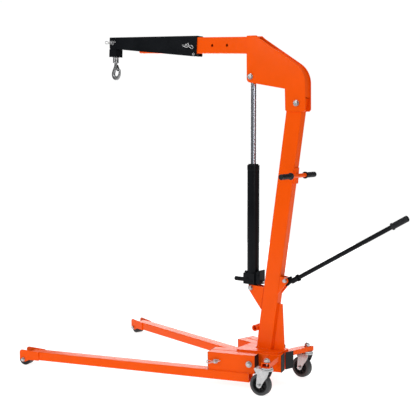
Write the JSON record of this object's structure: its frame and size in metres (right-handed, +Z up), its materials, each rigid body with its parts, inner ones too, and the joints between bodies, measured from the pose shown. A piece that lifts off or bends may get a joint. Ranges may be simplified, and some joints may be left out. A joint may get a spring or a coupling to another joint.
{
  "type": "engine hoist crane",
  "caption": "Folding workshop crane: splayed folding legs on rollers and casters, leaning mast, long hydraulic ram, tilting boom with pinned sliding extension and swivel hook.",
  "frame": {"origin": "on the floor under the middle of the bounding box", "axes": "+Z up; the boom and legs point towards -X, the pump handle towards +X; left is -Y"},
  "size_m": [1.9268, 0.9458, 1.6667],
  "materials": {
    "orange": "gloss powder coat",
    "black_paint": "satin black paint",
    "black_plastic": "moulded black",
    "roller_plastic": "moulded dark nylon",
    "grip_rubber": "ribbed soft grip",
    "tread": "solid dark grey rubber",
    "zinc": "bright zinc plate",
    "bush_steel": "machined",
    "chrome_rod": "hard chrome"
  },
  "bodies": {
    "base": {"base_tube_left": "orange", "base_tube_right": "orange", "base_caps": "black_plastic", "deck_plate": "orange", "cross_webs": "orange", "caster_arms": "orange", "mast": "orange", "mast_gusset": "orange", "mast_lugs": "orange", "handle_holder": "orange", "mast_bush": "bush_steel", "push_bar": "orange", "push_grips": "grip_rubber", "mast_bolt": "zinc", "bracket_bolts": "zinc", "leg_bolts": "zinc", "caster_stems": "zinc"},
    "boom": {"boom_tube": "orange", "head_plates": "orange", "head_strip": "orange", "ram_top_bolt": "zinc"},
    "extension": {"extension_sleeve": "black_paint", "sleeve_bolt": "zinc", "hook_block": "black_paint"},
    "extension_lock": {"extension_pin": "zinc"},
    "tip_lock": {"tip_pin": "zinc"},
    "swivel": {"hook_swivel": "zinc"},
    "hook_body": {"hook": "zinc"},
    "latch": {"hook_latch": "zinc"},
    "ram": {"ram_cylinder": "black_paint", "cylinder_gland": "black_paint", "pump_block": "black_paint"},
    "valve": {"release_valve": "black_paint"},
    "rod": {"ram_rod": "chrome_rod"},
    "lever": {"pump_lever": "black_paint"},
    "push": {"push_rod": "zinc"},
    "handle": {"pump_handle": "black_paint", "handle_grip": "grip_rubber"},
    "leg_left": {"leg_tube_left": "orange", "leg_bracket_left": "orange", "bracket_caps_left": "black_plastic", "roller_cheeks_left": "orange", "roller_axle_left": "zinc"},
    "roller_left": {"front_roller_left": "roller_plastic"},
    "leg_lock_left": {"leg_pin_left": "zinc"},
    "caster_left": {"caster_fork_left": "zinc", "caster_axle_left": "zinc"},
    "wheel_left": {"caster_wheel_left": "tread", "caster_hub_left": "black_plastic"},
    "leg_right": {"leg_tube_right": "orange", "leg_bracket_right": "orange", "bracket_caps_right": "black_plastic", "roller_cheeks_right": "orange", "roller_axle_right": "zinc"},
    "roller_right": {"front_roller_right": "roller_plastic"},
    "leg_lock_right": {"leg_pin_right": "zinc"},
    "caster_right": {"caster_fork_right": "zinc", "caster_axle_right": "zinc"},
    "wheel_right": {"caster_wheel_right": "tread", "caster_hub_right": "black_plastic"}
  },
  "joints": [
    {"name": "boom_lift", "type": "hinge", "parent": "base", "child": "boom", "pos_m": [0.43434, 0, 1.2975], "axis": [0, 1, 0], "range_deg": [-40, 12]},
    {"name": "ram_tilt", "type": "hinge", "parent": "base", "child": "ram", "pos_m": [0.18035, 0, 0.446], "axis": [0, 1, 0], "range_deg": [-2.9, 0.9]},
    {"name": "rod_extend", "type": "slide", "parent": "ram", "child": "rod", "axis": [0.0102, 0, 0.9999], "range_m": [-0.182, 0.055]},
    {"name": "extension_slide", "type": "slide", "parent": "boom", "child": "extension", "axis": [-0.9979, 0, 0.0645], "range_m": [-0.143, 0.172]},
    {"name": "extension_pin_pull", "type": "slide", "parent": "extension", "child": "extension_lock", "axis": [0, -1, 0], "range_m": [0, 0.1]},
    {"name": "tip_pin_pull", "type": "slide", "parent": "extension", "child": "tip_lock", "axis": [0, -1, 0], "range_m": [0, 0.09]},
    {"name": "hook_swivel_turn", "type": "hinge", "parent": "extension", "child": "swivel", "pos_m": [-0.66786, 0, 1.56575], "axis": [0.0645, 0, 0.9979], "continuous": true},
    {"name": "hook_swing", "type": "hinge", "parent": "swivel", "child": "hook_body", "pos_m": [-0.66922, 0, 1.54479], "axis": [0, 1, 0], "range_deg": [-25, 25]},
    {"name": "latch_open", "type": "hinge", "parent": "hook_body", "child": "latch", "pos_m": [-0.66622, 0, 1.52379], "axis": [0, 1, 0], "range_deg": [0, 30], "stiffness_Nm_per_rad": 0.05, "springref_deg": -28.65},
    {"name": "pump_lever_swing", "type": "hinge", "parent": "base", "child": "lever", "pos_m": [0.36934, 0, 0.4975], "axis": [0, 1, 0], "range_deg": [-30, 28]},
    {"name": "push_rod_stroke", "type": "slide", "parent": "base", "child": "push", "axis": [-1, 0, 0], "range_m": [-0.0106, 0.0099]},
    {"name": "handle_pull", "type": "slide", "parent": "lever", "child": "handle", "axis": [0.8695, 0, 0.4939], "range_m": [0, 0.1]},
    {"name": "valve_turn", "type": "hinge", "parent": "ram", "child": "valve", "pos_m": [0.13068, 0, 0.47951], "axis": [-0.9999, 0, 0.0102], "range_deg": [0, 180]},
    {"name": "leg_fold_left", "type": "hinge", "parent": "base", "child": "leg_left", "pos_m": [0.2427, -0.1168, 0.1175], "axis": [-0.2554, 0.9668, 0], "range_deg": [0, 90]},
    {"name": "leg_pin_pull_left", "type": "slide", "parent": "leg_left", "child": "leg_lock_left", "axis": [0.2554, -0.9668, 0], "range_m": [0, 0.13]},
    {"name": "roller_spin_left", "type": "hinge", "parent": "leg_left", "child": "roller_left", "pos_m": [-0.93103, -0.42691, 0.032], "axis": [0.2554, -0.9668, 0], "continuous": true},
    {"name": "caster_swivel_left", "type": "hinge", "parent": "base", "child": "caster_left", "pos_m": [0.37094, -0.17549, 0.126], "axis": [0, 0, 1], "continuous": true},
    {"name": "caster_spin_left", "type": "hinge", "parent": "caster_left", "child": "wheel_left", "pos_m": [0.34006, -0.17819, 0.05], "axis": [0.0872, -0.9962, 0], "continuous": true},
    {"name": "leg_fold_right", "type": "hinge", "parent": "base", "child": "leg_right", "pos_m": [0.2427, 0.1168, 0.1175], "axis": [0.2554, 0.9668, 0], "range_deg": [0, 90]},
    {"name": "leg_pin_pull_right", "type": "slide", "parent": "leg_right", "child": "leg_lock_right", "axis": [0.2554, 0.9668, 0], "range_m": [0, 0.13]},
    {"name": "roller_spin_right", "type": "hinge", "parent": "leg_right", "child": "roller_right", "pos_m": [-0.93103, 0.42691, 0.032], "axis": [0.2554, 0.9668, 0], "continuous": true},
    {"name": "caster_swivel_right", "type": "hinge", "parent": "base", "child": "caster_right", "pos_m": [0.37094, 0.17549, 0.126], "axis": [0, 0, 1], "continuous": true},
    {"name": "caster_spin_right", "type": "hinge", "parent": "caster_right", "child": "wheel_right", "pos_m": [0.34006, 0.17819, 0.05], "axis": [0.0872, 0.9962, 0], "continuous": true}
  ],
  "couplings": [
    {"joint": "ram_tilt", "follows": "boom_lift", "ratio": 0.071},
    {"joint": "rod_extend", "follows": "boom_lift", "m_per_rad": 0.26},
    {"joint": "push_rod_stroke", "follows": "pump_lever_swing", "m_per_rad": 0.02}
  ]
}
